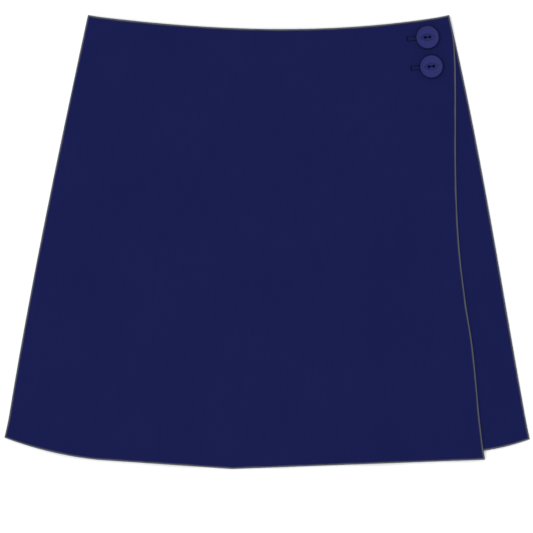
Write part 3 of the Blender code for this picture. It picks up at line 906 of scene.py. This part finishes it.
def mark_edges(obj, distances, hidden=None):
    """Gives each point its distance from the nearest outer edge, or more where it is hidden."""
    x, y, _ = points_of(obj).T
    drop = TOP_Y - y
    distance = np.maximum(np.minimum.reduce(distances(x, drop)), 0.0)
    if hidden is not None:
        distance = distance + HIDDEN_DISTANCE * hidden(x, drop)
    set_attribute(obj, "edge_distance", distance)


def finish_cloth(obj, node_name):
    """Hides the panel's CAD part and attaches the panel to the root body."""
    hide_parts(node_name)
    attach(obj, "root")


# ---------------------------------------------------------------- buttons, shanks and buttonholes


class Place:
    """Where a button is: its middle, and its buttonhole's line, which runs to the wearer's right."""

    def __init__(self, name):
        low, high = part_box(f"button_{name}")
        self.name, self.low, self.thickness = name, low.z, high.z - low.z
        self.middle = np.array([(low.x + high.x) / 2, (low.y + high.y) / 2])
        self.radius = (high.x - low.x) / 2
        cosine, sine = math.cos(BUTTON_TILT), math.sin(BUTTON_TILT)
        self.turn = np.array([[-cosine, -sine], [sine, -cosine]])

    def to_world(self, along, aside, height):
        """From distances along and beside the buttonhole's line."""
        along, aside, height = np.broadcast_arrays(along, aside, height)
        flat = np.stack([along, aside], axis=-1) @ self.turn + self.middle
        return np.concatenate([flat, height[..., None]], axis=-1)

    def on_flap(self, along, aside, rise):
        """The same, with the height given over the flap's face."""
        spot = self.to_world(along, aside, 0.0)
        spot[..., 2] = flap_top(spot[..., 0], TOP_Y - spot[..., 1]) + rise
        return spot


def eye_depth(x, y):
    """Of the fish-eye recess: a pointed oval, negative outside it."""
    aside = np.sqrt(y**2 + EYE_ROUND**2) - EYE_ROUND
    return EYE_DEPTH * (1 - aside / (EYE_WIDTH / 2) - (x / (EYE_LENGTH / 2)) ** 2)


def button_face(x, y, thickness):
    """The height of a button's face: a raised ring, a shallow dish inside it, and the fish-eye."""
    dish = DISH_DEPTH * smooth((DISH_RADIUS + DISH_SLOPE_WIDTH - np.hypot(x, y)) / DISH_SLOPE_WIDTH)
    depth = eye_depth(x, y)
    return thickness - dish - (depth + np.sqrt(depth**2 + EYE_SOFTNESS**2)) / 2


def button_profile(radius, thickness):
    """The radii and heights of a button's rings, from the middle of its face to that of its base."""
    inner, shoulder = radius - BUTTON_ROUND, thickness - BUTTON_ROUND
    face = [(inner * k / FACE_STEPS, thickness) for k in range(FACE_STEPS + 1)]
    turns = [math.radians(90) * (k + 1) / ROUND_STEPS for k in range(ROUND_STEPS)]
    rim = [(inner + BUTTON_ROUND * math.sin(a), shoulder + BUTTON_ROUND * math.cos(a)) for a in turns]
    side = [(mix(radius, inner, t), mix(shoulder, 0.0, t)) for t in SIDE_SHARES]
    base = [(inner * t, 0.0) for t in BASE_SHARES]
    return face + rim + side + base


def button_disc(place):
    """A two-hole fish-eye button with a rounded rim."""
    points, faces = revolved(button_profile(place.radius, place.thickness), BUTTON_SEGMENTS)
    on_face = np.arange(len(points)) <= FACE_STEPS * BUTTON_SEGMENTS
    points[on_face, 2] = button_face(points[on_face, 0], points[on_face, 1], place.thickness)
    disc = add_mesh(f"button_disc_{place.name}", points, faces, plastic)
    cutters = []
    for sign in (-1, 1):
        x = sign * HOLE_SPACING / 2
        lip = float(button_face(x, HOLE_RADIUS, place.thickness))
        wide, high = HOLE_RADIUS + HOLE_FLARE, place.thickness + CUT_OVER
        mouth = [(0, high), (wide, high), (wide, lip)]
        bore = [(HOLE_RADIUS, lip - HOLE_FLARE), (HOLE_RADIUS, -CUT_OVER), (0, -CUT_OVER)]
        hole_points, hole_faces = revolved(mouth + bore, HOLE_SEGMENTS)
        cutters.append(add_mesh("cutter", hole_points + (x, 0, 0), hole_faces))
    cut(disc, cutters)
    shade_button(disc, place)
    points = points_of(disc)
    points = place.to_world(points[:, 0], points[:, 1], points[:, 2] + place.low)
    disc.data.vertices.foreach_set("co", points.astype(np.float32).ravel())
    disc.data.update()
    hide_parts(f"button_{place.name}")
    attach(disc, "root")
    return disc


def shade_button(disc, place):
    """Marks where shade is painted: the rim and the side, the eye's line and the insides of the holes.
    """
    x, y, z = points_of(disc).T
    from_middle = np.hypot(x, y)
    rim = smooth((from_middle - RIM_SHADE_RADIUS) / RIM_SHADE_WIDTH)
    beneath = (z < place.thickness / 2) & (from_middle > EYE_LENGTH / 2)
    from_line = eye_depth(x, y) / EYE_DEPTH * EYE_WIDTH / 2
    line = EYE_LINE_SHADE * np.exp(-((from_line / EYE_LINE_WIDTH) ** 2)) * (z > place.thickness / 2)
    near_hole = np.hypot(np.abs(x) - HOLE_SPACING / 2, y) < HOLE_RADIUS * HOLE_SHADE_REACH
    inside = near_hole & (z < button_face(x, y, place.thickness) - HOLE_FLARE / 2)
    set_attribute(disc, "shade", np.maximum.reduce([rim, beneath, line, HOLE_SHADE * inside]))


def button_strands(place):
    """The thread over the bar between the holes, down through the holes and in to the shank."""
    turn = np.linspace(0.0, math.pi, STRAND_POINTS)
    arch = STRAND_HALF * np.sign(np.cos(turn)) * np.abs(np.cos(turn)) ** STRAND_BEND
    along = np.concatenate([[STRAND_FOOT, STRAND_HALF], arch, [-STRAND_HALF, -STRAND_FOOT]])
    lower = [(share * STRAND_SPACING, STRAND_SEAT) for share in (-1, 0, 1)]
    upper = [(share * STRAND_SPACING, UPPER_STRAND_SEAT) for share in (-0.5, 0.5)]
    paths = []
    for aside, radii in lower + upper:
        seat = float(button_face(0.0, aside, place.thickness)) + STRAND_RADIUS * radii
        height = mix(seat - STRAND_DIP, seat, np.sin(turn) ** STRAND_CROWN)
        height = np.concatenate(
            [[-STRAND_FOOT_DROP, STRAND_TURN], height, [STRAND_TURN, -STRAND_FOOT_DROP]]
        )
        paths.append(place.to_world(along, aside, place.low + height))
    strands = threads(f"button_strands_{place.name}", paths, STRAND_RADIUS, button_thread)
    set_attribute(strands, "shade", np.zeros(len(strands.data.vertices)))
    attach(strands, "root")


def shank_winding(place):
    """The shank between the front leg and the button: upright strands with thread wound round them."""
    low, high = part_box(f"shank_{place.name}")
    coil = (high.x - low.x) / 2 - SHANK_THREAD_RADIUS
    first, last = low.z + SHANK_THREAD_RADIUS, high.z - SHANK_THREAD_RADIUS
    turns = (last - first) / (2 * SHANK_THREAD_RADIUS)
    share = np.linspace(0.0, 1.0, round(turns * COIL_POINTS))
    turn = math.tau * turns * share
    paths = [place.to_world(coil * np.cos(turn), coil * np.sin(turn), mix(first, last, share))]
    inner, height = coil - SHANK_THREAD_RADIUS * 2, mix(low.z, high.z, share)
    for k in range(SHANK_CORE_STRANDS):
        turn = math.tau * (k + share * SHANK_CORE_TWIST) / SHANK_CORE_STRANDS
        paths.append(place.to_world(inner * np.cos(turn), inner * np.sin(turn), height))
    winding = threads(f"shank_winding_{place.name}", paths, SHANK_THREAD_RADIUS, button_thread)
    set_attribute(winding, "shade", np.zeros(len(winding.data.vertices)))
    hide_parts(f"shank_{place.name}")
    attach(winding, "root")


def keyhole_cutter(place):
    """What is cut out of the flap: a round end under the button, and a slot."""
    half = SLOT_WIDTH / 2
    gap = math.asin(half / EYELET_RADIUS)
    turn = np.linspace(gap, math.tau - gap, KEYHOLE_POINTS)
    along = np.append(EYELET_RADIUS * np.cos(turn), [SLOT_LENGTH, SLOT_LENGTH])
    aside = np.append(EYELET_RADIUS * np.sin(turn), [-half, half])
    points = [place.to_world(along, aside, place.low + over) for over in (CUT_OVER, -CUT_OVER)]
    index = np.arange(2 * len(along)).reshape(2, -1)
    faces = [quads(index, closed=True), index[:1], index[1:, ::-1]]
    return add_mesh("cutter", np.concatenate(points), faces)


def stitch(place, start, end, number, rise=STITCH_RISE):
    """A stitch that arches over the cloth between two points of the buttonhole's plan."""
    share = np.linspace(0.0, 1.0, STITCH_POINTS)
    wobble = math.sin(number * WOBBLE_STEP) + math.sin(number * WOBBLE_STEP_2) / 2
    wobble *= STITCH_WOBBLE
    along = mix(start[0], end[0] + wobble, share)
    aside = mix(start[1], end[1] * (1 + wobble / BEAD_OUTER), share)
    covered = smooth((np.hypot(along, aside) - place.radius + BUTTON_ROUND) / BUTTON_ROUND)
    top = mix(PRESSED_RISE, rise, covered)
    sink = mix(STITCH_INNER_SINK, STITCH_SINK, share)
    return place.on_flap(along, aside, mix(-sink, top, np.sin(math.pi * share) ** STITCH_ARCH))


def buttonhole_stitches(place):
    """Two beads of close stitches along the slot, a fan round its eyelet and a bar across its end."""
    paths = []
    bead_start = EYELET_RADIUS + EYELET_FAN / 2
    for k in range(round((SLOT_LENGTH - bead_start) / STITCH_PITCH)):
        along = bead_start + k * STITCH_PITCH
        for sign in (-1, 1):
            start, end = (along, sign * BEAD_INNER), (along, sign * BEAD_OUTER)
            paths.append(stitch(place, start, end, k + sign))
    for k in range(FAN_STITCHES):
        turn = mix(FAN_FROM, FAN_TO, k / (FAN_STITCHES - 1))
        out, radius = np.array([math.cos(turn), math.sin(turn)]), EYELET_RADIUS - STITCH_RADIUS
        paths.append(stitch(place, out * radius, out * (radius + EYELET_FAN), k))
    for k in range(BAR_STITCHES):
        along = SLOT_LENGTH + k * BAR_PITCH
        reach = BEAD_OUTER - STITCH_RADIUS * abs(2 * k - BAR_STITCHES + 1) / 3  # longest in the middle
        paths.append(stitch(place, (along, -reach), (along, reach), k, BAR_RISE))
    stitches = threads(f"buttonhole_stitches_{place.name}", paths, STITCH_RADIUS, sewing_thread)
    flat = (points_of(stitches)[:, :2] - place.middle) @ place.turn.T
    # shade is painted on the outer ends of the beads' stitches and on the bar across the end
    outer = smooth((np.abs(flat[:, 1]) - BEAD_OUTER + BEAD_SHADE) / BEAD_SHADE * BEAD_SHADE_SLOPE)
    barred = smooth((flat[:, 0] - SLOT_LENGTH + STITCH_PITCH) / STITCH_PITCH)
    set_attribute(stitches, "shade", np.maximum(outer, barred))
    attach(stitches, "root")
    return stitches


# ---------------------------------------------------------------- the garment

twill = twill_material()
plastic = plastic_material()
sewing_thread = thread_material("navy_sewing_thread", SEWING_LIGHT, SEWING_DARK)
button_thread = thread_material("dark_button_thread", BUTTON_THREAD_LIGHT, BUTTON_THREAD_DARK)
places = [Place("upper"), Place("lower")]

for side_name, side in (("left", LEFT), ("right", RIGHT)):
    inset = SIDE_TURN + SEAM_GAP if side == RIGHT else 0.0
    back = panel(f"back_{side_name}", leg_edges(side), back_underside, back_top, LEG_SPACING, outward=-1)
    front = panel(f"front_{side_name}", leg_edges(side, inset), leg_underside, leg_top, LEG_SPACING)
    mark_edges(back, leg_outline(side), everywhere)
    mark_edges(front, leg_outline(side), under_flap)
    finish_cloth(back, f"back_leg_{side_name}")
    finish_cloth(front, f"front_leg_{side_name}")

flap = panel("wrap_flap", flap_edges(), flap_underside, flap_top, FLAP_SPACING, last_sewn=False)
cut(flap, [keyhole_cutter(place) for place in places])
mark_edges(flap, flap_outline)
finish_cloth(flap, "front_flap")
for place in places:
    button_disc(place)
    button_strands(place)
    shank_winding(place)
    buttonhole_stitches(place)

# ---------------------------------------------------------------- floor, light and camera


def plain_material(name, colour, roughness):
    material, _, shader, _ = start_material(name)
    shader.inputs["Base Color"].default_value = colour
    shader.inputs["Roughness"].default_value = roughness
    shader.inputs["Specular IOR Level"].default_value = 0.0
    return material


corners = [(x * FLOOR_REACH, y * FLOOR_REACH, FLOOR_Z) for x, y in ((-1, -1), (1, -1), (1, 1), (-1, 1))]
floor = add_mesh("floor", corners, [[[0, 1, 2, 3]]], plain_material("pale_floor", FLOOR_COLOUR, 0.9))

world = bpy.data.worlds.new("studio")
bpy.context.scene.world = world
world.use_nodes = True
world.node_tree.nodes["Background"].inputs["Color"].default_value = WORLD_COLOUR
world.node_tree.nodes["Background"].inputs["Strength"].default_value = WORLD_STRENGTH

key = bpy.data.objects.new("key_light", bpy.data.lights.new("key_light", "SUN"))
key.data.energy = KEY_STRENGTH
key.data.angle = KEY_ANGLE
key.rotation_euler = (-Vector(KEY_FROM)).to_track_quat("-Z", "Y").to_euler()
bpy.context.scene.collection.objects.link(key)

camera = bpy.data.objects.new("camera", bpy.data.cameras.new("camera"))
camera.data.type = "PERSP"
camera.data.sensor_width = SENSOR_WIDTH
camera.data.lens = SENSOR_WIDTH * CAMERA_HEIGHT / VIEW_WIDTH
camera.data.clip_end = FLOOR_REACH * 2
camera.location = (VIEW_X, VIEW_Y, CAMERA_HEIGHT + VIEW_HEIGHT)
bpy.context.scene.collection.objects.link(camera)
bpy.context.scene.camera = camera
bpy.context.scene.view_settings.view_transform = "Standard"
bpy.context.scene.view_settings.look = "None"
